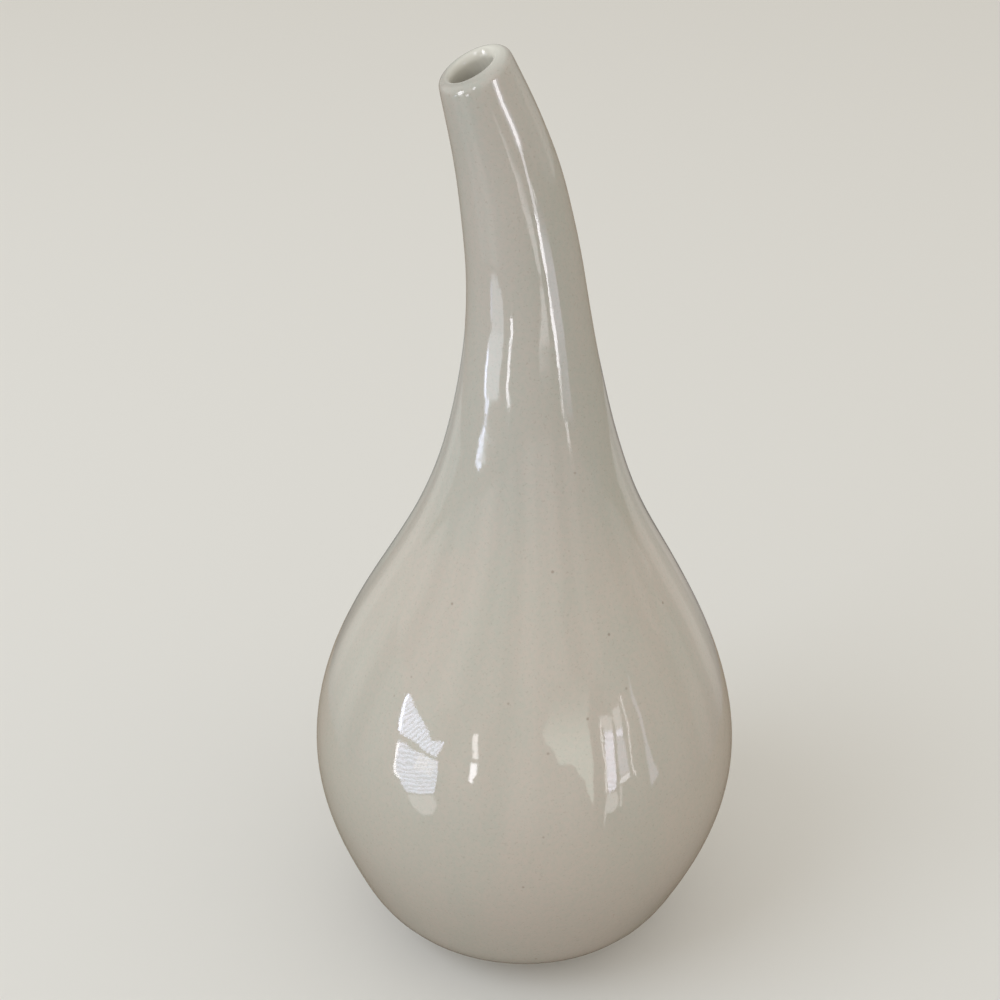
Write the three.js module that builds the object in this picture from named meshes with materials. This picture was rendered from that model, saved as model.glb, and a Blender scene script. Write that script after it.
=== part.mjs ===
import * as THREE from "three";
import { mergeVertices } from "three/addons/utils/BufferGeometryUtils.js";

// A hand-made teardrop bud vase: a round bulb that draws up into a slim neck, which leans over to one side.
// The clay is a thrown bulb with a neck luted on at the flare, and a glaze coat covers it outside and in.
// Millimetres, Z up, with the front towards -Y. The origin is the middle of the foot, on the table.

// The outline over the glaze, from the foot up to the lip. Each station has its rise from the station below,
// its radius and, along the neck, how far the middle of the neck has drifted sideways by there.
const FOOT_RADIUS = 20;
const HEEL_RISE = 6;
const HEEL_RADIUS = 31.2;
const BOWL_RISE = 10;
const BOWL_RADIUS = 39;
const UNDER_BELLY_RISE = 14;
const UNDER_BELLY_RADIUS = 44.4;
const BELLY_RISE = 18;
const BELLY_RADIUS = 47;
const OVER_BELLY_RISE = 18;
const OVER_BELLY_RADIUS = 43.4;
const SHOULDER_RISE = 18;
const SHOULDER_RADIUS = 35.2;
const FLARE_RISE = 20;
const FLARE_RADIUS = 24;
const FLARE_DRIFT = 0.4;
const NECK_ROOT_RISE = 22;
const NECK_ROOT_RADIUS = 16.5;
const NECK_ROOT_DRIFT = 1.2;
const NECK_RISE = 26;
const NECK_RADIUS = 11.8;
const NECK_DRIFT = 3.3;
const THROAT_RISE = 26;
const THROAT_RADIUS = 9.6;
const THROAT_DRIFT = 8.7;
const LIP_RISE = 17.8;
const LIP_RADIUS = 7.15;
const LIP_DRIFT = 15.6;

// The neck leans to the left, this far round towards the front. Its mouth is trimmed a little steeper than
// square, and its bore sits off the middle, away from the front. Both fade out over the mouth's length.
const LEAN_TO_FRONT_DEG = 32;
const MOUTH_TRIM_DEG = 6.4;
const BORE_SHIFT = 1.1;
const MOUTH_LENGTH = 20;

// Walls: the clay thins from the belly up to the lip, and each glaze coat lies on it evenly.
const BELLY_WALL = 3;
const LIP_WALL = 2;
const GLAZE = 0.4;

// Underneath: a ring to stand on, hollowed in the middle. The clay is bare up to the bare height.
const FOOT_RING_WIDTH = 5;
const FOOT_HOLLOW = 1.5;
const BARE_HEIGHT = 2;
const FLOOR = 5;
const FLOOR_DISH = 2.5;

// How finely the round forms are cut into flat faces.
const SIDES = 36;
const RING_STEP = 10;
const LIP_STEPS = 3;
const FLOOR_STEPS = 4;

const CLAY_COLOUR = 0xd9cdb8;
const GLAZE_COLOUR = 0xbfbbaf;
const LINER_COLOUR = 0xb5b1a5;

const stations = [
  { rise: 0, radius: FOOT_RADIUS, drift: 0 },
  { rise: HEEL_RISE, radius: HEEL_RADIUS, drift: 0 },
  { rise: BOWL_RISE, radius: BOWL_RADIUS, drift: 0 },
  { rise: UNDER_BELLY_RISE, radius: UNDER_BELLY_RADIUS, drift: 0 },
  { rise: BELLY_RISE, radius: BELLY_RADIUS, drift: 0 },
  { rise: OVER_BELLY_RISE, radius: OVER_BELLY_RADIUS, drift: 0 },
  { rise: SHOULDER_RISE, radius: SHOULDER_RADIUS, drift: 0 },
  { rise: FLARE_RISE, radius: FLARE_RADIUS, drift: FLARE_DRIFT },
  { rise: NECK_ROOT_RISE, radius: NECK_ROOT_RADIUS, drift: NECK_ROOT_DRIFT },
  { rise: NECK_RISE, radius: NECK_RADIUS, drift: NECK_DRIFT },
  { rise: THROAT_RISE, radius: THROAT_RADIUS, drift: THROAT_DRIFT },
  { rise: LIP_RISE, radius: LIP_RADIUS, drift: LIP_DRIFT },
];
let top = 0;
const levels = stations.map(({ rise }) => (top += rise));
const lipLevel = top;
const bellyLevel = HEEL_RISE + BOWL_RISE + UNDER_BELLY_RISE + BELLY_RISE;
const flareLevel = bellyLevel + OVER_BELLY_RISE + SHOULDER_RISE + FLARE_RISE;

// A natural cubic spline through values at the given places, as a function that gives its value and slope.
function smoothCurve(places, values) {
  const last = places.length - 1;
  const bends = new Array(last + 1).fill(0);
  const carry = new Array(last + 1).fill(0);
  for (let i = 1; i < last; i++) {
    const before = places[i] - places[i - 1];
    const after = places[i + 1] - places[i];
    const turn = (values[i + 1] - values[i]) / after - (values[i] - values[i - 1]) / before;
    const weight = 2 * (before + after) - before * carry[i - 1];
    carry[i] = after / weight;
    bends[i] = (6 * turn - before * bends[i - 1]) / weight;
  }
  for (let i = last - 1; i > 0; i--) bends[i] -= carry[i] * bends[i + 1];
  return (place) => {
    let i = 0;
    while (i < last - 1 && place > places[i + 1]) i++;
    const span = places[i + 1] - places[i];
    const b = (place - places[i]) / span;
    const a = 1 - b;
    const sag = (a ** 3 - a) * bends[i] + (b ** 3 - b) * bends[i + 1];
    const tilt = (3 * b ** 2 - 1) * bends[i + 1] - (3 * a ** 2 - 1) * bends[i];
    return {
      value: a * values[i] + b * values[i + 1] + (sag * span ** 2) / 6,
      slope: (values[i + 1] - values[i]) / span + (tilt * span) / 6,
    };
  };
}
const outlineAt = smoothCurve(levels, stations.map(({ radius }) => radius));
const driftAt = smoothCurve(levels, stations.map(({ drift }) => drift));

// The clay's thickness at a level.
function wallAt(level) {
  const up = THREE.MathUtils.clamp((level - bellyLevel) / (lipLevel - bellyLevel), 0, 1);
  return THREE.MathUtils.lerp(BELLY_WALL, LIP_WALL, up);
}

// A point of the upright vase under the outline's point at a level, sunk square to the outline by a depth.
// Its bore share says how far it moves with the bore: 0 on the outside and 1 on the inside.
function sunk(outlineLevel, depth, boreShare = 0) {
  const { value, slope } = outlineAt(outlineLevel);
  const across = depth / Math.hypot(1, slope);
  return { radius: value - across, level: outlineLevel + across * slope, boreShare, outlineLevel };
}

// The lip is half round, and its coats share one middle. The rounding starts square to the outline.
const lipCoat = LIP_WALL / 2 + GLAZE;
const lipMiddle = sunk(lipLevel, lipCoat);
const lipStart = -Math.atan(outlineAt(lipLevel).slope);

// The rounding at a distance from the lip's middle, from the start of one of its sides up to the crest.
function lipRounding(distance, side) {
  const points = [];
  for (let i = 1; i <= LIP_STEPS; i++) {
    const angle = THREE.MathUtils.lerp(side, Math.PI / 2, i / LIP_STEPS);
    points.push({
      radius: lipMiddle.radius + distance * Math.cos(angle),
      level: lipMiddle.level + distance * Math.sin(angle),
      boreShare: (1 - Math.cos(angle - lipStart)) / 2,
    });
  }
  return points;
}

// The levels of the rings, from the glaze's lower edge up to the lip.
const ringLevels = [BARE_HEIGHT];
levels.slice(1).forEach((level, i) => {
  const steps = Math.ceil((level - levels[i]) / RING_STEP);
  for (let k = 1; k <= steps; k++) ringLevels.push(THREE.MathUtils.lerp(levels[i], level, k / steps));
});

// A path up the outside, at a depth under the glaze's face, from its lower edge to the lip's crest.
function outsidePath(depth) {
  return [...ringLevels.map((level) => sunk(level, depth)), ...lipRounding(lipCoat - depth, lipStart)];
}

// A path up the inside, from the middle of the floor to the lip's crest, standing off the clay by a coat.
const floorLevel = FOOT_HOLLOW + FLOOR;
const dishLevel = floorLevel + FLOOR_DISH;
const wallLevels = ringLevels.filter((level) => sunk(level, GLAZE + wallAt(level)).level > dishLevel);
function insidePath(coat) {
  const wall = wallLevels.map((level) => sunk(level, GLAZE + wallAt(level) + coat, 1));
  const [foot] = wall;
  const middle = floorLevel + coat;
  const corner = foot.radius - (foot.level - middle) * outlineAt(wallLevels[0]).slope;
  const dish = new THREE.QuadraticBezierCurve(
    new THREE.Vector2(0, middle),
    new THREE.Vector2(corner, middle),
    new THREE.Vector2(foot.radius, foot.level),
  );
  const floor = dish.getPoints(FLOOR_STEPS).map(({ x, y }) => ({ radius: x, level: y, boreShare: 1 }));
  return [...floor.slice(0, -1), ...wall, ...lipRounding(LIP_WALL / 2 + coat, lipStart + Math.PI)];
}

const ringInside = FOOT_RADIUS - FOOT_RING_WIDTH;
const underside = [
  { radius: 0, level: FOOT_HOLLOW, boreShare: 0 },
  { radius: ringInside - FOOT_HOLLOW, level: FOOT_HOLLOW, boreShare: 0 },
  { radius: ringInside, level: 0, boreShare: 0 },
  { radius: FOOT_RADIUS, level: 0, boreShare: 0 },
];
const clayOutside = outsidePath(GLAZE);
const glazeOutside = outsidePath(0);
const clayInside = insidePath(0);
const linerInside = insidePath(GLAZE);
const crestSeam = [clayOutside.at(-1), glazeOutside.at(-1)];
const lowerEdge = [clayOutside[0], glazeOutside[0]];
const bareFoot = [underside.at(-1), clayOutside[0]];

// The clay's two pieces meet at the flare.
const flareOutside = clayOutside.findIndex(({ outlineLevel }) => outlineLevel === flareLevel);
const flareInside = clayInside.findIndex(({ outlineLevel }) => outlineLevel === flareLevel);
const luteSeam = [clayOutside[flareOutside], clayInside[flareInside]];

// Where a point of the upright vase lies once the neck leans: on a ring square to the drifted middle line.
const leanTurn = THREE.MathUtils.degToRad(LEAN_TO_FRONT_DEG);
const lean = new THREE.Vector3(-Math.cos(leanTurn), -Math.sin(leanTurn), 0);
const trim = Math.tan(THREE.MathUtils.degToRad(MOUTH_TRIM_DEG));
function ringAt({ radius, level, boreShare }) {
  const { value, slope } = driftAt(level);
  const middle = lean.clone().multiplyScalar(value).setZ(level);
  const along = lean.clone().multiplyScalar(slope).setZ(1).normalize();
  const side = lean.clone().negate().setZ(slope).normalize();
  const back = along.clone().cross(side);
  const mouthShare = Math.max(0, 1 - (lipLevel - level) / MOUTH_LENGTH) ** 2;
  middle.addScaledVector(back, BORE_SHIFT * boreShare * mouthShare);
  side.addScaledVector(along, trim * mouthShare);
  return Array.from({ length: SIDES }, (_, i) => {
    const angle = (i / SIDES) * 2 * Math.PI;
    const spoke = side.clone().multiplyScalar(Math.cos(angle)).addScaledVector(back, Math.sin(angle));
    return middle.clone().addScaledVector(spoke, radius);
  });
}

// A closed solid from skins. Each skin is a path swept round the vase, and faces to the right of its path,
// or to the left where it is turned. Two solids that share a path share its triangles.
function solid(name, colour, roughness, skins) {
  const corners = [];
  for (const { path, turned = false } of skins) {
    const rings = path.map(ringAt);
    for (let k = 1; k < rings.length; k++)
      for (let i = 0; i < SIDES; i++) {
        const next = (i + 1) % SIDES;
        const lower = [rings[k - 1][i], rings[k - 1][next], rings[k][i]];
        const upper = [rings[k][next], rings[k][i], rings[k - 1][next]];
        if (path[k - 1].radius > 0) corners.push(...(turned ? lower.reverse() : lower));
        if (path[k].radius > 0) corners.push(...(turned ? upper.reverse() : upper));
      }
  }
  const geometry = mergeVertices(new THREE.BufferGeometry().setFromPoints(corners));
  geometry.computeVertexNormals();
  const material = new THREE.MeshStandardMaterial({ color: colour, roughness, metalness: 0 });
  const mesh = new THREE.Mesh(geometry, material);
  mesh.name = name;
  return mesh;
}

const vase = new THREE.Group();
vase.name = "teardrop_bud_vase";
vase.add(
  solid("clay_bulb", CLAY_COLOUR, 0.85, [
    { path: underside },
    { path: bareFoot },
    { path: clayOutside.slice(0, flareOutside + 1) },
    { path: luteSeam },
    { path: clayInside.slice(0, flareInside + 1), turned: true },
  ]),
  solid("clay_neck", CLAY_COLOUR, 0.85, [
    { path: luteSeam, turned: true },
    { path: clayOutside.slice(flareOutside) },
    { path: clayInside.slice(flareInside), turned: true },
  ]),
  solid("outer_glaze", GLAZE_COLOUR, 0.15, [
    { path: lowerEdge },
    { path: glazeOutside },
    { path: crestSeam, turned: true },
    { path: clayOutside, turned: true },
  ]),
  solid("liner_glaze", LINER_COLOUR, 0.2, [
    { path: clayInside },
    { path: crestSeam },
    { path: linerInside, turned: true },
  ]),
);

export default vase;
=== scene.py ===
import math

import bpy
from mathutils import Matrix, Vector
from mathutils.interpolate import poly_3d_calc


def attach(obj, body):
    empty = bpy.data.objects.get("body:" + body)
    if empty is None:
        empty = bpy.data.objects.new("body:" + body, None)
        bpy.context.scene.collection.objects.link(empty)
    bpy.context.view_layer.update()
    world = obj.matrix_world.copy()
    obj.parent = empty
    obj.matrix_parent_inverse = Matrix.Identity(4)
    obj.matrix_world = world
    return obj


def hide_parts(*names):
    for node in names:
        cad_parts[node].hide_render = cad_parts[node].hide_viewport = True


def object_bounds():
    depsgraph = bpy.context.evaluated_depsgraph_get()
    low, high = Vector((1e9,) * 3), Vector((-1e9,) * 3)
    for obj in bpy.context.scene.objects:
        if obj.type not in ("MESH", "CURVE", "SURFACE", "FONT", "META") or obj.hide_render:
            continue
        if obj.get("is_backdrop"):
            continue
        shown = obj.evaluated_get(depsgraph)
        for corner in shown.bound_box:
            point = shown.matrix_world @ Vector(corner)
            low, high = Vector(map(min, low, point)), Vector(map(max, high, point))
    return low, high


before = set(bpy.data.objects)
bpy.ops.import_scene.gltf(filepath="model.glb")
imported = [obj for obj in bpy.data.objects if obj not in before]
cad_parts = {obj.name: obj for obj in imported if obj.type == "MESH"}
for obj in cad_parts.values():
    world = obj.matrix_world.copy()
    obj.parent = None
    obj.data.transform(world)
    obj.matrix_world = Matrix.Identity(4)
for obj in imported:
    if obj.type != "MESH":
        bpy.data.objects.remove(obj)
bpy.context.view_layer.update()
mm = 0.001  # sizes below are in millimetres
samePoint = 0.05 * mm  # within which two points are taken as one

# The outline over the glaze, and how far the middle of the neck drifts sideways on its way up.
outline = {
    "levels": (0, 6, 16, 30, 48, 66, 84, 104, 126, 152, 178, 195.8),
    "radii": (20, 31.2, 39, 44.4, 47, 43.4, 35.2, 24, 16.5, 11.8, 9.6, 7.15),
    "drifts": (0, 0, 0, 0, 0, 0, 0, 0.4, 1.2, 3.3, 8.7, 15.6),
    "leanToFront": 32,  # degrees that the lean turns from the left towards the front
    "sides": 72,
    "ringStep": 4,
    "crease": 30,  # degrees past which an edge stays sharp
}
wall = {"atBelly": 3, "atLip": 2, "bellyLevel": 48, "glaze": 0.4}
mouth = {
    "trim": 6.4,  # degrees that it is cut steeper than square
    "length": 20,  # over which the trim, the bore's shift and its pinch fade out
    "boreShift": 1.1,  # away from the front
    "pinch": 0.78,  # of the bore's width across the lean
    "tipPulls": {-1: 1.0, 1: 0.45},  # that its left and right corners are drawn out
    "tipSpread": 3,
    "tipDepth": 5,
    "tipShare": 0.6,  # the bore share from which a ring has corners
    "lipSteps": 12,
    "linerEnd": 3,  # rings below the lip at which the liner meets the outer glaze
    "insideFrom": 0.45,  # how much a point may still face outwards and be shaded as the inside
}
floorInside = {"level": 6.5, "dish": 2.5, "steps": 10}
foot = {"radius": 20, "ringWidth": 5, "hollow": 1.5, "hollowRings": (4, 9), "bare": 2, "round": 0.35}
unevenness = {
    "size": 26,
    "reach": 0.5,
    "bellyShare": 0.3,
    "from": 8,
    "belly": 30,
    "full": 95,
    "crest": 4,  # that the lip's highest point stands above the last station
    "lipFade": 8,
}

lipLevel = outline["levels"][-1]


# A natural cubic spline through values at the given places, the same one that the solids use.
def smoothCurve(places, values):
    last = len(places) - 1
    bends = [0.0] * (last + 1)
    carry = [0.0] * (last + 1)
    for i in range(1, last):
        before = places[i] - places[i - 1]
        after = places[i + 1] - places[i]
        turn = (values[i + 1] - values[i]) / after - (values[i] - values[i - 1]) / before
        weight = 2 * (before + after) - before * carry[i - 1]
        carry[i] = after / weight
        bends[i] = (6 * turn - before * bends[i - 1]) / weight
    for i in range(last - 1, 0, -1):
        bends[i] -= carry[i] * bends[i + 1]

    def valueAndSlope(place):
        i = 0
        while i < last - 1 and place > places[i + 1]:
            i += 1
        span = places[i + 1] - places[i]
        b = (place - places[i]) / span
        a = 1 - b
        sag = (a**3 - a) * bends[i] + (b**3 - b) * bends[i + 1]
        tilt = (3 * b**2 - 1) * bends[i + 1] - (3 * a**2 - 1) * bends[i]
        value = a * values[i] + b * values[i + 1] + sag * span**2 / 6
        return value, (values[i + 1] - values[i]) / span + tilt * span / 6

    return valueAndSlope


radiusAt = smoothCurve(outline["levels"], outline["radii"])
driftAt = smoothCurve(outline["levels"], outline["drifts"])


def mouthShare(level):
    return max(0, 1 - (lipLevel - level) / mouth["length"]) ** 2


# One ring of the upright vase, sunk square to the outline by a depth. The bore share is 1 on the inside.
def sunkRing(level, depth, boreShare=0):
    radius, slope = radiusAt(level)
    across = depth / math.hypot(1, slope)
    return {"radius": radius - across, "level": level + across * slope, "boreShare": boreShare}


def clayAt(level):
    up = (level - wall["bellyLevel"]) / (lipLevel - wall["bellyLevel"])
    return wall["atBelly"] + (wall["atLip"] - wall["atBelly"]) * min(max(up, 0), 1)


# The half-round lip at a distance from its middle, from the outside over the crest to the inside.
def lipRings(distance):
    middle = sunkRing(lipLevel, wall["atLip"] / 2 + wall["glaze"])
    start = -math.atan(radiusAt(lipLevel)[1])
    rings = []
    for i in range(1, mouth["lipSteps"]):
        turn = math.pi * i / mouth["lipSteps"]
        rings.append({
            "radius": middle["radius"] + distance * math.cos(start + turn),
            "level": middle["level"] + distance * math.sin(start + turn),
            "boreShare": (1 - math.cos(turn)) / 2,
        })
    return rings


wallCount = math.ceil((lipLevel - foot["bare"]) / outline["ringStep"])
wallLevels = [foot["bare"] + (lipLevel - foot["bare"]) * k / wallCount for k in range(wallCount + 1)]
dishTop = floorInside["level"] + floorInside["dish"]
boreLevels = [v for v in wallLevels if sunkRing(v, wall["glaze"] + clayAt(v))["level"] > dishTop]


def outsideRings(depth):
    return [sunkRing(level, depth) for level in wallLevels]


def boreRings(coat, levels):
    return [sunkRing(v, wall["glaze"] + clayAt(v) + coat, 1) for v in levels]


# The dished floor of the bore, from its middle out to the first ring of the wall.
def dishRings(coat):
    side = boreRings(coat, boreLevels[:1])[0]
    middle = floorInside["level"] + coat
    corner = side["radius"] - (side["level"] - middle) * radiusAt(boreLevels[0])[1]
    dish = []
    for k in range(1, floorInside["steps"]):
        t = k / floorInside["steps"]
        dish.append({
            "radius": 2 * t * (1 - t) * corner + t * t * side["radius"],
            "level": (1 - t * t) * middle + t * t * side["level"],
            "boreShare": 1,
        })
    return dish


# Where a ring lies once the neck leans: its middle, its radius in metres, how far it tips, and its pinch.
def leaning(ring):
    drift, slope = driftAt(ring["level"])
    share = mouthShare(ring["level"])
    shift = mouth["boreShift"] * ring["boreShare"] * share
    return {
        "radius": ring["radius"] * mm,
        "middle": Vector((-drift, shift, ring["level"])) * mm,
        "tip": math.atan(slope) + math.radians(mouth["trim"]) * share,
        "pinch": 1 - (1 - mouth["pinch"]) * ring["boreShare"] * share,
        "corner": ring["boreShare"] > mouth["tipShare"] and ring["level"] > lipLevel - mouth["tipDepth"],
    }


# Draws out the two corners of the mouth, one to each side along the lean.
def drawOutCorners(piece, placed):
    rings = [ring for ring in placed if ring["corner"]]
    if not rings:
        return
    for side, pull in mouth["tipPulls"].items():
        ends = []
        for ring in rings:
            along = Vector((math.cos(ring["tip"]), 0, -math.sin(ring["tip"]))) * side
            ends.append(ring["middle"] + along * ring["radius"])
        bpy.ops.mesh.select_all(action="DESELECT")
        bpy.ops.object.mode_set(mode="OBJECT")
        for vertex in piece.data.vertices:
            vertex.select = any((vertex.co - end).length < samePoint for end in ends)
        bpy.ops.object.mode_set(mode="EDIT")
        bpy.ops.transform.translate(
            value=along * pull * mm, use_proportional_edit=True,
            proportional_edit_falloff="SMOOTH", proportional_size=mouth["tipSpread"] * mm)


# The maker's hand: every piece follows the same faint swells, which fade at the foot and the lip.
def addUnevenness(piece):
    swells = bpy.data.textures.get("swells") or bpy.data.textures.new("swells", "CLOUDS")
    swells.cloud_type = "COLOR"
    swells.noise_scale = unevenness["size"] * mm
    swells.noise_depth = 1
    share = piece.vertex_groups.new(name="uneven")
    for vertex in piece.data.vertices:
        z = vertex.co.z / mm
        low = min(max((z - unevenness["from"]) / (unevenness["belly"] - unevenness["from"]), 0), 1)
        up = min(max((z - unevenness["belly"]) / (unevenness["full"] - unevenness["belly"]), 0), 1)
        top = min(max((lipLevel + unevenness["crest"] - z) / unevenness["lipFade"], 0), 1)
        weight = low * top * (unevenness["bellyShare"] + (1 - unevenness["bellyShare"]) * up)
        share.add([vertex.index], weight, "REPLACE")
    uneven = piece.modifiers.new("uneven", "DISPLACE")
    uneven.texture = swells
    uneven.texture_coords = "LOCAL"
    uneven.direction = "RGB_TO_XYZ"
    uneven.vertex_group = "uneven"
    uneven.strength = unevenness["reach"] * mm
    bpy.ops.object.modifier_apply(modifier="uneven")


# Marks how far each point of a piece faces the middle of the neck: 1 all over the bore, 0 on the outside.
# It masks the painted light of the glaze inside the mouth.
def markInside(piece):
    inside = piece.data.attributes.new("inside", "FLOAT", "POINT")
    lean = math.radians(outline["leanToFront"])
    for vertex in piece.data.vertices:
        drift = driftAt(min(vertex.co.z / mm, lipLevel))[0] * mm
        outward = Vector((vertex.co.x + drift * math.cos(lean), vertex.co.y + drift * math.sin(lean), 0))
        facing = vertex.normal.dot(outward.normalized())
        inside.data[vertex.index].value = min(max(mouth["insideFrom"] - facing, 0), 1)


# A round wall thrown ring by ring: the first ring is drawn, and each next one is extruded from it, moved,
# opened or closed, and tipped. It is made leaning straight to the left, and then turned towards the front.
def throwRings(name, rings, capped=False, joined=False):
    placed = [leaning(ring) for ring in rings]
    first = placed[0]
    bpy.ops.object.select_all(action="DESELECT")
    bpy.ops.mesh.primitive_circle_add(
        vertices=outline["sides"], radius=first["radius"], location=(0, 0, 0),
        fill_type="TRIFAN" if capped else "NOTHING")
    piece = bpy.context.object
    piece.name = name
    piece.data.name = name
    bpy.ops.object.mode_set(mode="EDIT")
    bpy.ops.mesh.select_mode(type="VERT")
    bpy.ops.mesh.select_all(action="SELECT")
    bpy.ops.transform.translate(value=first["middle"])
    bpy.ops.transform.rotate(value=first["tip"], orient_axis="Y", center_override=first["middle"])
    if capped:
        bpy.ops.mesh.select_all(action="DESELECT")
        bpy.ops.mesh.select_non_manifold()
    for last, ring in zip(placed, placed[1:]):
        bpy.ops.mesh.extrude_edges_move(TRANSFORM_OT_translate={"value": ring["middle"] - last["middle"]})
        grow = ring["radius"] / last["radius"]
        across = grow * ring["pinch"] / last["pinch"]
        bpy.ops.transform.resize(value=(grow, across, grow), center_override=ring["middle"])
        bpy.ops.transform.rotate(
            value=ring["tip"] - last["tip"], orient_axis="Y", center_override=ring["middle"])
    if capped:
        bpy.ops.mesh.extrude_edges_move()
        bpy.ops.mesh.merge(type="CENTER")
    drawOutCorners(piece, placed)
    bpy.ops.mesh.select_all(action="SELECT")
    if joined:
        bpy.ops.mesh.remove_doubles(threshold=samePoint)
    bpy.ops.mesh.normals_make_consistent(inside=False)
    bpy.ops.object.mode_set(mode="OBJECT")
    piece.rotation_euler[2] = math.radians(outline["leanToFront"])
    bpy.ops.object.transform_apply(location=True, rotation=True, scale=True)
    smooth = piece.modifiers.new("smooth", "SUBSURF")
    smooth.levels = smooth.render_levels = 1
    bpy.ops.object.modifier_apply(modifier="smooth")
    addUnevenness(piece)
    markInside(piece)
    bpy.ops.object.shade_smooth_by_angle(angle=math.radians(outline["crease"]))
    return piece


lipGlaze = lipRings(wall["atLip"] / 2 + wall["glaze"])
lipClay = lipRings(wall["atLip"] / 2)
linerLevels = boreLevels[:-mouth["linerEnd"]]
lapLevels = boreLevels[-mouth["linerEnd"] - 1:]  # the outer glaze laps over the lip this far down

glazeRings = outsideRings(0) + lipGlaze + boreRings(wall["glaze"], lapLevels)[::-1]
underGlazeRings = outsideRings(wall["glaze"]) + lipClay + boreRings(0, lapLevels)[::-1]
glazeCoat = throwRings("glazeCoat", glazeRings + underGlazeRings[::-1] + glazeRings[:1], joined=True)
print("glaze coat thrown")

linerBack = dishRings(0) + boreRings(0, linerLevels)
linerFace = dishRings(wall["glaze"]) + boreRings(wall["glaze"], linerLevels)
linerCoat = throwRings("linerCoat", linerBack + linerFace[::-1], capped=True)
print("liner coat thrown")

ringInside = foot["radius"] - foot["ringWidth"]
edge = foot["round"]
undersideShape = (
    *((radius, foot["hollow"]) for radius in foot["hollowRings"]),
    (ringInside - foot["hollow"] - edge, foot["hollow"]),
    (ringInside - foot["hollow"] + edge, foot["hollow"] - edge),
    (ringInside - edge, edge),
    (ringInside + edge, 0),
    (ringInside + foot["ringWidth"] / 2, 0),
    (foot["radius"] - edge, 0),
    (foot["radius"] + edge / 2, edge / 2),
)
underside = [{"radius": radius, "level": level, "boreShare": 0} for radius, level in undersideShape]
clayOutside = outsideRings(wall["glaze"]) + lipClay
clayBore = boreRings(0, boreLevels)[::-1] + dishRings(0)[::-1]
clayBody = throwRings("clayBody", underside + clayOutside + clayBore, capped=True)
print("clay body thrown")


# A socket that takes part in Python expressions, each of which adds its Math node.
class Wire:
    def __init__(self, tree, socket=None):
        self.tree = tree
        self.socket = socket

    def node(self, kind, settings, values, output=0):
        made = self.tree.nodes.new(kind)
        for key, value in settings.items():
            setattr(made, key, value)
        for key, value in values.items():
            if isinstance(value, Wire):
                self.tree.links.new(value.socket, made.inputs[key])
            else:
                made.inputs[key].default_value = value
        return Wire(self.tree, made.outputs[output] if made.outputs else None)

    # Another output of the node that this one comes from.
    def beside(self, output):
        return Wire(self.tree, self.socket.node.outputs[output])

    def maths(self, operation, first, second=0.0):
        return self.node("ShaderNodeMath", {"operation": operation}, {0: first, 1: second})

    def __add__(self, other):
        return self.maths("ADD", self, other)

    def __radd__(self, other):
        return self.maths("ADD", other, self)

    def __sub__(self, other):
        return self.maths("SUBTRACT", self, other)

    def __rsub__(self, other):
        return self.maths("SUBTRACT", other, self)

    def __mul__(self, other):
        return self.maths("MULTIPLY", self, other)

    def __rmul__(self, other):
        return self.maths("MULTIPLY", other, self)


def emptyTree(owner):
    owner.use_nodes = True
    owner.node_tree.nodes.clear()
    return Wire(owner.node_tree)


# A colour given in screen values, 0 to 255, in the linear values that a shader takes.
def screenColour(red, green, blue):
    return tuple(((c / 255 + 0.055) / 1.055) ** 2.4 for c in (red, green, blue)) + (1,)


def mixed(wire, share, first, second, blend="MIX"):
    return wire.node(
        "ShaderNodeMix", {"data_type": "RGBA", "blend_type": blend},
        {"Factor": share, 6: first, 7: second}, output=2)


def ramped(wire, value, low, high):
    return wire.node(
        "ShaderNodeMapRange", {"interpolation_type": "SMOOTHSTEP"},
        {"Value": value, "From Min": low, "From Max": high})


def noise(wire, place, scale, detail=1):
    return wire.node("ShaderNodeTexNoise", {}, {"Vector": place, "Scale": scale, "Detail": detail})


glazeLook = {
    "body": screenColour(186, 180, 167),
    "bodyShare": 0.3,
    "cool": screenColour(177, 175, 163),
    "warm": screenColour(190, 178, 166),
    "runs": {"scale": 70, "squash": 0.16, "detail": 2, "ramp": (0.36, 0.62)},
    "mottle": {"scale": 1100, "detail": 3, "ramp": (0.35, 0.65), "share": 0.5},
    # painted shade, multiplied over the neck by height
    "neck": screenColour(247, 250, 253),
    "neckShadeFrom": (92, 132),
    # painted light for the lip and the inside of the mouth
    "paler": screenColour(209, 205, 194),
    "speck": screenColour(122, 104, 88),
    "freckles": {"scale": 2300, "ramp": (0.6, 0.75), "share": 0.17},
    "specks": {"scale": 256, "ramp": (0.03, 0.12), "rarity": (0.88, 0.9), "share": 0.5, "pit": 0.06},
    "thin": screenColour(168, 150, 126),
    "thinOver": (2, 3.2),
    "thinShare": 0.8,
    "relief": ((160, 0.3), (900, 0.03), (3400, 0.014)),  # scale and height of waves, orange peel and grain
    "reliefDepth": 0.14,
    "roughness": 0.05,
    "refraction": 1.52,
}


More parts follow.
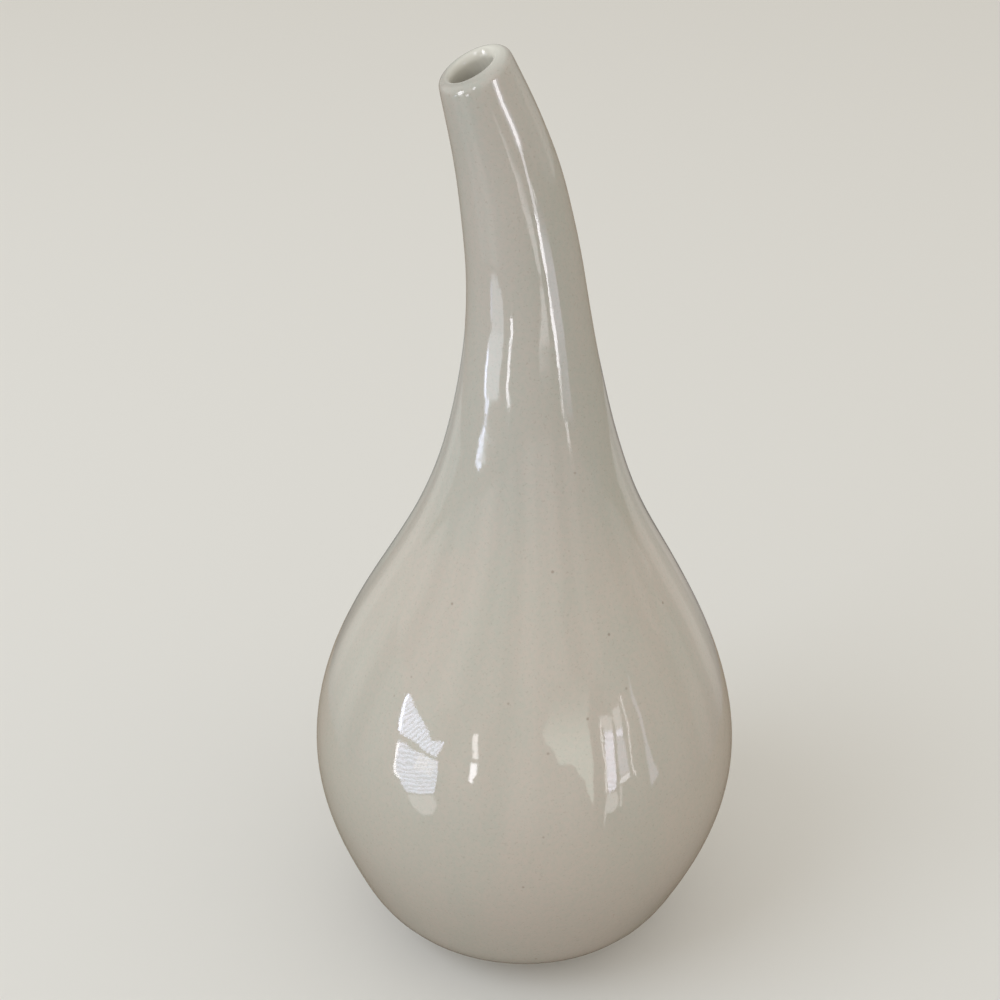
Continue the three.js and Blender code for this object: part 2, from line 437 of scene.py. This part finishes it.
def glazeMaterial(name, look):
    material = bpy.data.materials.new(name)
    wire = emptyTree(material)
    place = wire.node("ShaderNodeTexCoord", {}, {}, output="Object")
    # The glaze has run down the wall, so its shades lie in tall soft bands.
    runs = look["runs"]
    tall = wire.node("ShaderNodeMapping", {}, {"Vector": place, "Scale": (1, 1, runs["squash"])})
    shade = noise(wire, tall, runs["scale"], runs["detail"])
    colour = mixed(wire, ramped(wire, shade, *runs["ramp"]), look["cool"], look["warm"])
    # A fine mottle of the same two shades, as the glaze broke over the clay.
    mottle = look["mottle"]
    shade = noise(wire, place, mottle["scale"], mottle["detail"])
    fine = mixed(wire, ramped(wire, shade, *mottle["ramp"]), look["cool"], look["warm"])
    colour = mixed(wire, mottle["share"], colour, fine)
    colour = mixed(wire, look["bodyShare"], colour, look["body"])
    # Painted shade: the glaze is darkened and cooled up the neck, by height, for the dimmer light that the
    # neck gets.
    height = wire.node("ShaderNodeSeparateXYZ", {}, {"Vector": place}, output="Z")
    low, high = look["neckShadeFrom"]
    colour = mixed(wire, ramped(wire, height, low * mm, high * mm), colour, look["neck"], "MULTIPLY")
    freckles = look["freckles"]
    dots = ramped(wire, noise(wire, place, freckles["scale"]), *freckles["ramp"])
    colour = mixed(wire, dots * freckles["share"], colour, look["speck"])
    # Painted light: the glaze is made paler over the lip and inside the mouth, to lighten the deep bore.
    inside = wire.node("ShaderNodeAttribute", {"attribute_name": "inside"}, {}, output="Fac")
    colour = mixed(wire, inside, colour, look["paler"])
    # Small iron specks, in some of the cells of a scattering.
    specks = look["specks"]
    cells = wire.node("ShaderNodeTexVoronoi", {}, {"Vector": place, "Scale": specks["scale"]})
    lucky = wire.node("ShaderNodeSeparateColor", {}, {"Color": cells.beside("Color")})
    spots = (1 - ramped(wire, cells, *specks["ramp"])) * ramped(wire, lucky, *specks["rarity"])
    colour = mixed(wire, spots * specks["share"], colour, look["speck"])
    # Its lower edge is thin, and the clay shows through.
    low, high = look["thinOver"]
    thin = 1 - ramped(wire, height, low * mm, high * mm)
    colour = mixed(wire, thin * look["thinShare"], colour, look["thin"])
    # Faint waves, a finer orange peel and a grain on them, and pits at the specks.
    relief = spots * -specks["pit"]
    for scale, size in look["relief"]:
        relief = relief + noise(wire, place, scale) * size
    bump = wire.node("ShaderNodeBump", {}, {
        "Strength": 1, "Distance": look["reliefDepth"] * mm, "Height": relief})
    shader = wire.node("ShaderNodeBsdfPrincipled", {}, {
        "Base Color": colour, "Roughness": look["roughness"], "IOR": look["refraction"], "Normal": bump})
    wire.node("ShaderNodeOutputMaterial", {}, {"Surface": shader})
    return material


linerLook = {**glazeLook, "thinOver": (-2, -1)}  # glaze covers the floor inside, so it is thin nowhere

clayLook = {
    "body": screenColour(204, 190, 164),
    "dark": screenColour(176, 156, 126),
    "grog": {"scale": 700, "detail": 4, "ramp": (0.4, 0.75)},
    "relief": 0.5,
    "reliefDepth": 0.15,
    "roughness": 0.85,
}


def clayMaterial(name, look):
    material = bpy.data.materials.new(name)
    wire = emptyTree(material)
    place = wire.node("ShaderNodeTexCoord", {}, {}, output="Object")
    grog = noise(wire, place, look["grog"]["scale"], look["grog"]["detail"])
    colour = mixed(wire, ramped(wire, grog, *look["grog"]["ramp"]), look["body"], look["dark"])
    bump = wire.node("ShaderNodeBump", {}, {
        "Strength": look["relief"], "Distance": look["reliefDepth"] * mm, "Height": grog})
    shader = wire.node("ShaderNodeBsdfPrincipled", {}, {
        "Base Color": colour, "Roughness": look["roughness"], "Normal": bump})
    wire.node("ShaderNodeOutputMaterial", {}, {"Surface": shader})
    return material


for piece, material in (
    (glazeCoat, glazeMaterial("glossyGlaze", glazeLook)),
    (linerCoat, glazeMaterial("linerGlaze", linerLook)),
    (clayBody, clayMaterial("bareClay", clayLook)),
):
    piece.data.materials.clear()
    piece.data.materials.append(material)
    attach(piece, "root")

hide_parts("outer_glaze")
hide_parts("liner_glaze")
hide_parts("clay_bulb", "clay_neck")
print("finishes mixed")

camera = {
    "place": (-6.87, -277.4, 253.5),
    "down": 28,
    "roll": 1.554,
    "lens": 54,
    "sensor": 36,
    "frame": 1000,
    "clipFrom": 10,
}
bpy.ops.object.camera_add(location=Vector(camera["place"]) * mm)
eye = bpy.context.object
eye.name = "camera"
level = Matrix.Rotation(math.radians(90 - camera["down"]), 3, "X")
eye.rotation_euler = (level @ Matrix.Rotation(math.radians(camera["roll"]), 3, "Z")).to_euler()
eye.data.lens = camera["lens"]
eye.data.sensor_width = camera["sensor"]
eye.data.clip_start = camera["clipFrom"] * mm
bpy.context.scene.camera = eye
bpy.context.view_layer.update()

# The pale floor. What it throws back at the vase, and more so what the gloss shows of it, is darker than
# what the camera sees.
floorLook = {
    "size": 8000,
    "back": 1000,
    "seen": screenColour(226, 223, 217),
    "thrown": screenColour(188, 184, 185),
    "mirrored": screenColour(142, 129, 112),
    "roughness": 0.9,
}
bpy.ops.object.select_all(action="DESELECT")
bpy.ops.mesh.primitive_plane_add(size=floorLook["size"] * mm, location=(0, floorLook["back"] * mm, 0))
floor = bpy.context.object
floor.name = "floor"
floorMaterial = bpy.data.materials.new("paleFloor")
wire = emptyTree(floorMaterial)
seen = wire.node("ShaderNodeLightPath", {}, {}, output="Is Camera Ray")
mirrored = seen.beside("Is Glossy Ray")
shade = mixed(wire, mirrored, floorLook["thrown"], floorLook["mirrored"])
shade = mixed(wire, seen, shade, floorLook["seen"])
shader = wire.node("ShaderNodeBsdfPrincipled", {}, {
    "Base Color": shade, "Roughness": floorLook["roughness"], "Specular IOR Level": 0})
wire.node("ShaderNodeOutputMaterial", {}, {"Surface": shader})
floor.data.materials.append(floorMaterial)
floor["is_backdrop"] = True


# A point about the vase, at an azimuth from the front, positive to the right.
def around(azimuth, distance, height):
    angle = math.radians(azimuth)
    return Vector((math.sin(angle) * distance, -math.cos(angle) * distance, height)) * mm


aimLevel = 80  # of the lights
softLights = (
    {"name": "keyLight", "azimuth": -60, "distance": 1300, "height": 1300, "size": 1000, "power": 9.2,
     "colour": (0.75, 0.86, 1)},
    {"name": "lowLight", "azimuth": -50, "distance": 1300, "height": 200, "size": 800, "power": 2.1,
     "colour": (0.75, 0.86, 1)},
    {"name": "fillLight", "azimuth": 70, "distance": 1500, "height": 1100, "size": 900, "power": 0.7,
     "colour": (1, 0.94, 0.83)},
)
for soft in softLights:
    place = around(soft["azimuth"], soft["distance"], soft["height"])
    bpy.ops.object.light_add(type="AREA", location=place)
    lamp = bpy.context.object
    lamp.name = soft["name"]
    aim = Vector((0, 0, aimLevel * mm)) - lamp.location
    lamp.rotation_euler = aim.to_track_quat("-Z", "Y").to_euler()
    lamp.data.size = soft["size"] * mm
    lamp.data.energy = soft["power"]
    lamp.data.color = soft["colour"]
    lamp.visible_glossy = False
    lamp.visible_camera = False

# Turns are in radians from the front. The bands are waves, so many to a whole turn.
room = {
    "glow": 0.5,
    "left": (0.96, 1, 0.94, 1),
    "right": (1, 0.94, 0.9, 1),
    "tintTurn": 0.8,
    "wideBands": {"waves": 6, "start": 0.9, "share": 0.4},
    "narrowBands": {"waves": 15, "start": 2, "edge": 0.35, "share": 0.5},
    "corner": {"turn": 1.2, "width": 0.4, "share": 0.5},
    "paler": {"turn": 1.8, "width": 0.4, "share": 0.35},
    "behind": {"from": 2.05, "to": 2.5, "share": 0.2},
    "soft": (1, 0.985, 0.94, 1),
    "sky": 0.6,
    "ground": 1.8,
    "skyRamp": (-0.3, 0.9),
    "backdrop": 0.86,
}


# A soft patch of the room about a turn, 1 in its middle and 0 at its width.
def patch(wire, turned, place):
    return ramped(wire, wire.maths("ABSOLUTE", turned - place["turn"]), place["width"], 0)


# What the gloss sees of the room: upright bands, cooler at the left and warmer at the right.
def roomColour(wire, direction):
    across = wire.node("ShaderNodeSeparateXYZ", {}, {"Vector": direction})
    azimuth = wire.maths("ARCTAN2", across, -1 * across.beside("Y"))
    toRight = ramped(wire, azimuth, -room["tintTurn"], room["tintTurn"])
    tint = mixed(wire, toRight, room["left"], room["right"])
    bands = room["wideBands"]
    wide = wire.maths("SINE", azimuth * bands["waves"] + bands["start"]) * bands["share"]
    bands = room["narrowBands"]
    narrow = wire.maths("SINE", azimuth * bands["waves"] + bands["start"])
    narrow = (ramped(wire, narrow, -bands["edge"], bands["edge"]) - 0.5) * bands["share"]
    # A darker corner at the right, a paler one straight to both sides, and a little less behind.
    aside = wire.maths("ABSOLUTE", azimuth)
    corner = patch(wire, azimuth, room["corner"]) * room["corner"]["share"]
    paler = patch(wire, aside, room["paler"]) * room["paler"]["share"]
    behind = ramped(wire, aside, room["behind"]["from"], room["behind"]["to"]) * room["behind"]["share"]
    return tint, room["glow"] * (1 + wide + narrow + paler) * (1 - corner - behind)


world = bpy.data.worlds.new("studio")
bpy.context.scene.world = world
wire = emptyTree(world)
direction = wire.node("ShaderNodeTexCoord", {}, {}, output="Generated")
tint, bandGlow = roomColour(wire, direction)
upward = wire.node("ShaderNodeSeparateXYZ", {}, {"Vector": direction}, output="Z")
softGlow = room["ground"] + (room["sky"] - room["ground"]) * ramped(wire, upward, *room["skyRamp"])
seen = wire.node("ShaderNodeLightPath", {}, {}, output="Is Camera Ray")
glossy = seen.beside("Is Glossy Ray")
strength = seen * room["backdrop"] + (1 - seen) * (glossy * bandGlow + (1 - glossy) * softGlow)
shade = mixed(wire, glossy, room["soft"], tint)
background = wire.node("ShaderNodeBackground", {}, {"Color": shade, "Strength": strength})
wire.node("ShaderNodeOutputWorld", {}, {"Surface": background})
print("room lit")


# Things that only the gloss of the glaze shows stand round the vase on the stage.
def glossOnly(thing, material):
    thing.data.materials.append(material)
    thing.visible_camera = thing.visible_diffuse = thing.visible_shadow = False
    thing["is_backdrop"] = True


# A low dull screen keeps the bulb from showing what the neck shows.
screen = {
    "distance": 126,
    "low": 16,
    "high": 98,
    "sides": 96,
    "rise": 18,  # that it is higher before the streak's cards, between two azimuths
    "riseFrom": 12,
    "riseTo": 84,
    "dimmest": 0.4,  # of the room's glow, at its foot
    "dimFrom": 65,
    "dimTo": 8,
}
bpy.ops.object.select_all(action="DESELECT")
bpy.ops.mesh.primitive_cylinder_add(
    vertices=screen["sides"], radius=screen["distance"] * mm, depth=(screen["high"] - screen["low"]) * mm,
    location=(0, 0, (screen["high"] + screen["low"]) / 2 * mm), end_fill_type="NOTHING")
lowScreen = bpy.context.object
lowScreen.name = "lowScreen"
bpy.ops.object.transform_apply(location=True, rotation=True, scale=True)
halfWay = (screen["high"] + screen["low"]) / 2 * mm
for vertex in lowScreen.data.vertices:
    azimuth = math.degrees(math.atan2(vertex.co.x, -vertex.co.y))
    if vertex.co.z > halfWay and screen["riseFrom"] < azimuth < screen["riseTo"]:
        vertex.co.z += screen["rise"] * mm
screenMaterial = bpy.data.materials.new("lowScreen")
wire = emptyTree(screenMaterial)
place = wire.node("ShaderNodeNewGeometry", {}, {}, output="Position")
tint, bandGlow = roomColour(wire, place)
height = wire.node("ShaderNodeSeparateXYZ", {}, {"Vector": place}, output="Z")
lit = ramped(wire, height, screen["dimTo"] * mm, screen["dimFrom"] * mm)
lit = screen["dimmest"] + (1 - screen["dimmest"]) * lit
light = wire.node("ShaderNodeEmission", {}, {"Color": tint, "Strength": bandGlow * lit})
wire.node("ShaderNodeOutputMaterial", {}, {"Surface": light})
glossOnly(lowScreen, screenMaterial)

# A second one close by on the left keeps the top of the neck from showing its own window twice.
sideScreen = {"distance": 60, "low": 137, "high": 178, "from": -80, "to": -30, "steps": 16}
bpy.ops.object.select_all(action="DESELECT")
bpy.ops.mesh.primitive_grid_add(x_subdivisions=sideScreen["steps"], y_subdivisions=1, size=1)
highScreen = bpy.context.object
highScreen.name = "highScreen"
for vertex in highScreen.data.vertices:
    azimuth = sideScreen["from"] + (sideScreen["to"] - sideScreen["from"]) * (vertex.co.x + 0.5)
    height = sideScreen["high"] if vertex.co.y > 0 else sideScreen["low"]
    vertex.co = around(azimuth, sideScreen["distance"], height)
glossOnly(highScreen, screenMaterial)


# Follows the camera's line through a point of the photograph's frame to the glaze and off it, out to a
# flat card that stands across the given azimuth at a distance from the vase's middle.
def mirroredPoint(pixel, azimuth, distance):
    half = camera["frame"] / 2
    scale = camera["sensor"] / camera["lens"] / camera["frame"]
    line = eye.matrix_world.to_3x3() @ Vector(((pixel[0] - half) * scale, (half - pixel[1]) * scale, -1))
    start = eye.matrix_world.translation
    met, point, _, face = glazeCoat.ray_cast(start, line.normalized())
    if not met:
        raise ValueError(f"the glaze isn't met at {pixel}")
    corners = [glazeCoat.data.vertices[i] for i in glazeCoat.data.polygons[face].vertices]
    shares = poly_3d_calc([corner.co for corner in corners], point)
    smooth = sum((corner.normal * share for corner, share in zip(corners, shares)), Vector())
    bounce = line.reflect(smooth.normalized()).normalized()
    across = around(azimuth, 1 / mm, 0)  # one metre towards the card
    reach = (distance * mm - point.dot(across)) / bounce.dot(across)
    return point + bounce * reach


# The outline of a stroke of some width along a line of points.
def strokeOutline(points, width):
    rightSide = []
    leftSide = []
    for i, (x, y) in enumerate(points):
        before = points[max(i - 1, 0)]
        after = points[min(i + 1, len(points) - 1)]
        along = Vector((after[0] - before[0], after[1] - before[1])).normalized() * width / 2
        rightSide.append((x - along.y, y + along.x))
        leftSide.append((x + along.y, y - along.x))
    return rightSide + leftSide[::-1]


near = 110  # seen by the bulb alone, or by the top of the neck
middle = 220
far = 400  # seen by the neck alone, since the low screen hides it from the bulb
cool = (0.7, 0.77, 1)
lilac = (0.84, 0.83, 1)
white = (0.95, 0.94, 1)
cream = (0.97, 0.94, 0.95)
hazy = (0.8, 0.87, 0.94)
mossy = (0.76, 0.9, 0.82)

# Each card is given by the outline, or by the line and width, of its highlight in the photograph's frame,
# or else by its own corners, each an azimuth and a height.
cards = [
    {"name": "leftPaneHigh", "azimuth": -52, "distance": near, "glow": 7.6, "tint": cool,
     "ribs": (0.9, 0, 0), "ribScale": 128, "ribDepth": 0.42, "outline": (
        (409.5, 693), (413, 699), (417, 711), (421, 718), (424, 724), (429, 732), (431, 740), (445, 742.5),
        (441, 751), (436, 757), (421, 749), (418.7, 744.4), (407.4, 737), (399.5, 732), (402, 716),
        (406, 699))},
    {"name": "leftPaneLow", "azimuth": -50, "distance": near, "glow": 6.6, "tint": cool,
     "ribs": (0.4, 0, 0), "ribScale": 128, "ribDepth": 0.42, "outline": (
        (398.3, 740), (404, 743), (414.6, 751.5), (420, 753), (436, 759.5), (438.6, 762), (437, 777),
        (435, 791), (433, 793.5), (419, 794), (407.4, 791.5), (402, 785), (399.3, 778), (394.2, 772),
        (394.2, 763), (395.7, 755.6))},
    {"name": "leftEdgeHigh", "azimuth": -52, "distance": near - 1, "glow": 17, "tint": cool, "width": 2.6,
     "line": ((409.5, 694), (405.5, 701), (402, 716), (400, 730))},
    {"name": "leftEdgeLow", "azimuth": -50, "distance": near - 1, "glow": 12, "tint": white, "width": 2.2,
     "line": ((398.8, 742), (396, 756), (394.8, 764), (395, 771), (400, 778))},
    {"name": "leftTail", "azimuth": -44, "distance": near, "glow": 2.5, "tint": cream, "outline": (
        (408, 794), (433, 796), (437, 806), (432, 814), (424, 816), (414, 808))},
    {"name": "stripHigh", "azimuth": -23, "distance": near, "glow": 8.5, "tint": cream, "outline": (
        (472.5, 735), (477.5, 735), (478, 748), (477.5, 759.5), (472.5, 759), (472, 748))},
    {"name": "stripLow", "azimuth": -23, "distance": near, "glow": 12.5, "tint": white, "outline": (
        (471, 763), (477, 763), (476.5, 773), (473, 778), (472, 783), (468.5, 781), (469, 773))},
    {"name": "palePanel", "azimuth": 22, "distance": near, "glow": 3.1, "tint": mossy, "fade": (78, 113),
     "outline": (
        (549, 680), (551, 696), (547, 723), (542.4, 732.7), (546, 742.4), (554.5, 750), (557, 762),
        (561, 765.5), (570, 764), (576.5, 768), (578, 775), (585, 781), (587, 790), (593.3, 805),
        (593.3, 781), (592, 745), (590, 733), (588, 725), (589, 700), (590, 680))},
    {"name": "rightBlock", "azimuth": 38, "distance": near, "glow": 3, "tint": cream, "outline": (
        (600.5, 717), (606, 715.5), (611, 717), (612.5, 731), (604.5, 732), (602, 725))},
    {"name": "rightBandLeft", "azimuth": 38, "distance": near, "glow": 8, "tint": lilac,
     "ribs": (0.3, 0, 0), "ribScale": 110, "ribDepth": 0.25, "outline": (
        (604.3, 732), (611.6, 730), (613.6, 745), (615.2, 768), (616.2, 788), (613, 791), (608.8, 794),
        (607, 780), (606.5, 765), (605, 750))},
    {"name": "rightBandTop", "azimuth": 44, "distance": near, "glow": 3.2, "tint": cream, "outline": (
        (611.5, 712), (619, 704.5), (620.5, 716), (622, 727), (615.5, 729), (613.3, 722))},
    {"name": "rightSpot", "azimuth": 44, "distance": near, "glow": 8, "tint": lilac, "outline": (
        (615.2, 729.5), (621.8, 727.5), (622.8, 735), (616, 736.5))},
    {"name": "rightBandLow", "azimuth": 44, "distance": near, "glow": 3.2, "tint": lilac, "outline": (
        (616, 737), (623, 736), (626, 750), (629.5, 771), (619.5, 776), (617.8, 758))},
    {"name": "rightEdgeLeft", "azimuth": 38, "distance": near - 1, "glow": 6.5, "tint": cream, "width": 1.3,
     "line": ((600.6, 718), (601.2, 728), (603, 750), (605.5, 764), (606, 780), (606.5, 794))},
    {"name": "rightEdgeRight", "azimuth": 44, "distance": near - 1, "glow": 5.5, "tint": cream,
     "width": 1.5, "line": (
        (620, 696), (623.6, 708.5), (627.3, 723), (629.7, 742), (631.5, 761), (635.8, 776))},
    {"name": "rightLobe", "azimuth": 44, "distance": near - 1, "glow": 6, "tint": white, "outline": (
        (618.8, 782), (621, 777), (629, 772), (630.5, 776), (625, 781.5), (620, 784))},
    {"name": "rightTail", "azimuth": 38, "distance": near, "glow": 3, "tint": cream, "outline": (
        (607, 795), (617.5, 792), (618, 805), (612, 812), (606.5, 812), (603.6, 831), (604.5, 812))},
    {"name": "rightTailThin", "azimuth": 38, "distance": near, "glow": 2.6, "tint": cream, "width": 2.5,
     "line": ((620.5, 785), (621, 795), (620, 806))},
    {"name": "rightArc", "azimuth": 55, "distance": near, "glow": 2.3, "tint": lilac, "outline": (
        (628, 673), (633, 693), (640.5, 712), (645, 732), (650, 752), (659, 774), (651.5, 787),
        (646.5, 759), (642.5, 735), (638, 715), (631, 697))},
    {"name": "neckPaneTop", "azimuth": -58, "distance": middle, "glow": 3.4, "tint": hazy, "outline": (
        (491.5, 274), (497, 276), (501, 290), (503.5, 312), (504, 330), (491, 333), (492.5, 324),
        (490, 318), (490.5, 290))},
    {"name": "neckPane", "azimuth": -60, "distance": far, "glow": 4.4, "tint": hazy, "below": 77,
     "outline": (
        (491, 330), (504, 327), (503.5, 345), (500, 370), (498, 398), (499, 412), (492, 420), (485.5, 425),
        (483.5, 400), (484.5, 370), (487.5, 345))},
    {"name": "neckEdge", "azimuth": -60, "distance": far - 2, "glow": 15, "tint": cool, "width": 1.6,
     "line": ((488.5, 347), (486, 372), (485, 400), (485, 425), (483.3, 442), (479.5, 466))},
    {"name": "neckEdgeTop", "azimuth": -58, "distance": middle - 1, "glow": 4, "tint": cool, "width": 1.5,
     "line": ((491.3, 284), (491, 318))},
    {"name": "neckThread", "azimuth": -28, "distance": far, "glow": 12, "tint": white, "width": 2.4,
     "line": ((511.5, 316), (512, 335), (508.5, 365), (506.5, 392), (508.5, 403), (510.5, 408))},
    {"name": "neckPale", "distance": far, "glow": 3.4, "tint": cream, "fade": (66, 94), "corners": (
        (30.5, 43), (35, 46), (37, 62), (35.5, 80), (32, 96), (14.8, 96), (15, 86), (19, 68), (26, 55))},
    {"name": "streakTop", "azimuth": 44, "distance": near, "glow": 12, "tint": white, "width": 3.2,
     "line": ((494.5, 80), (498, 91), (503, 105), (509, 118), (516, 135), (520, 147))},
    {"name": "streakFaint", "azimuth": 46, "distance": near, "glow": 6, "tint": white, "width": 2.4,
     "line": ((519.5, 146), (522, 155), (527, 175), (533, 200), (538, 220))},
    {"name": "streakLow", "azimuth": 46, "distance": far, "glow": 13, "tint": white, "width": 1.9, "line": (
        (538, 220), (541, 238), (542, 252), (546, 270), (549, 283), (551.5, 305), (554, 331), (557, 355),
        (560, 382))},
    {"name": "streakKnee", "distance": far, "glow": 13, "tint": white, "corners": (
        (44.6, 48), (47.4, 48), (47.4, 67), (44.6, 67))},
    {"name": "streakEnd", "azimuth": 46, "distance": far, "glow": 5.5, "tint": cream, "width": 2.6,
     "line": ((560, 382), (563, 402), (566, 421), (570, 448))},
    {"name": "lilacBand", "distance": far + 2, "glow": 3, "tint": lilac, "fade": (78, 108), "corners": (
        (47, 56), (65, 60), (63, 108), (48, 108))},
    {"name": "streakFringe", "azimuth": 44, "distance": near + 1, "glow": 2.6, "tint": lilac, "width": 7,
     "line": ((494.5, 80), (498, 91), (503, 105), (509, 118), (516, 135), (520, 147))},
    {"name": "lipGlintLeft", "azimuth": -59, "distance": near, "glow": 11, "tint": white, "outline": (
        (457.5, 93), (461, 91), (464, 91.5), (463, 94), (459, 95.5))},
    {"name": "lipGlintRight", "azimuth": -39, "distance": near, "glow": 7, "tint": white, "outline": (
        (472, 88), (475, 86.5), (476.5, 88), (474, 90))},
]
ribRaggedness = {"Distortion": 4, "Detail": 3, "Detail Scale": 1.5}
slats = {"count": 7, "first": (421, 754), "step": (2.6, 1.2), "run": (-6.5, 15), "width": 1.1, "glow": 8.5}
for i in range(slats["count"]):
    startX = slats["first"][0] + slats["step"][0] * i
    startY = slats["first"][1] + slats["step"][1] * i
    end = (startX + slats["run"][0], startY + slats["run"][1])
    cards.append({
        "name": f"slat{i}", "azimuth": -50, "distance": near - 1, "glow": slats["glow"], "tint": white,
        "width": slats["width"], "line": ((startX, startY), end)})

for card in cards:
    if "corners" in card:
        places = [around(turn, card["distance"], height) for turn, height in card["corners"]]
    else:
        shape = card.get("outline") or strokeOutline(card["line"], card["width"])
        places = [mirroredPoint(pixel, card["azimuth"], card["distance"]) for pixel in shape]
    if "below" in card:
        for point in places:
            point.z = min(point.z, card["below"] * mm)
    bpy.ops.object.select_all(action="DESELECT")
    bpy.ops.mesh.primitive_circle_add(vertices=len(places), location=(0, 0, 0), fill_type="NGON")
    sheet = bpy.context.object
    sheet.name = card["name"]
    for vertex, point in zip(sheet.data.vertices, places):
        vertex.co = point
    cardMaterial = bpy.data.materials.new(card["name"])
    wire = emptyTree(cardMaterial)
    glow = card["glow"]
    if "ribs" in card:
        place = wire.node("ShaderNodeTexCoord", {}, {}, output="Object")
        turned = wire.node("ShaderNodeMapping", {}, {"Vector": place, "Rotation": card["ribs"]})
        ribs = wire.node("ShaderNodeTexWave", {"bands_direction": "Z"}, {
            "Vector": turned, "Scale": card["ribScale"], **ribRaggedness})
        glow = glow * (1 + card["ribDepth"] * (2 * ribs - 1))
    if "fade" in card:
        height = wire.node("ShaderNodeNewGeometry", {}, {}, output="Position")
        height = wire.node("ShaderNodeSeparateXYZ", {}, {"Vector": height}, output="Z")
        low, high = card["fade"]
        glow = glow - (glow - room["glow"]) * ramped(wire, height, low * mm, high * mm)
    light = wire.node("ShaderNodeEmission", {}, {"Color": (*card["tint"], 1), "Strength": glow})
    wire.node("ShaderNodeOutputMaterial", {}, {"Surface": light})
    glossOnly(sheet, cardMaterial)
print("cards set")

bpy.context.scene.view_settings.view_transform = "Standard"

low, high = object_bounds()
print("vase measured")
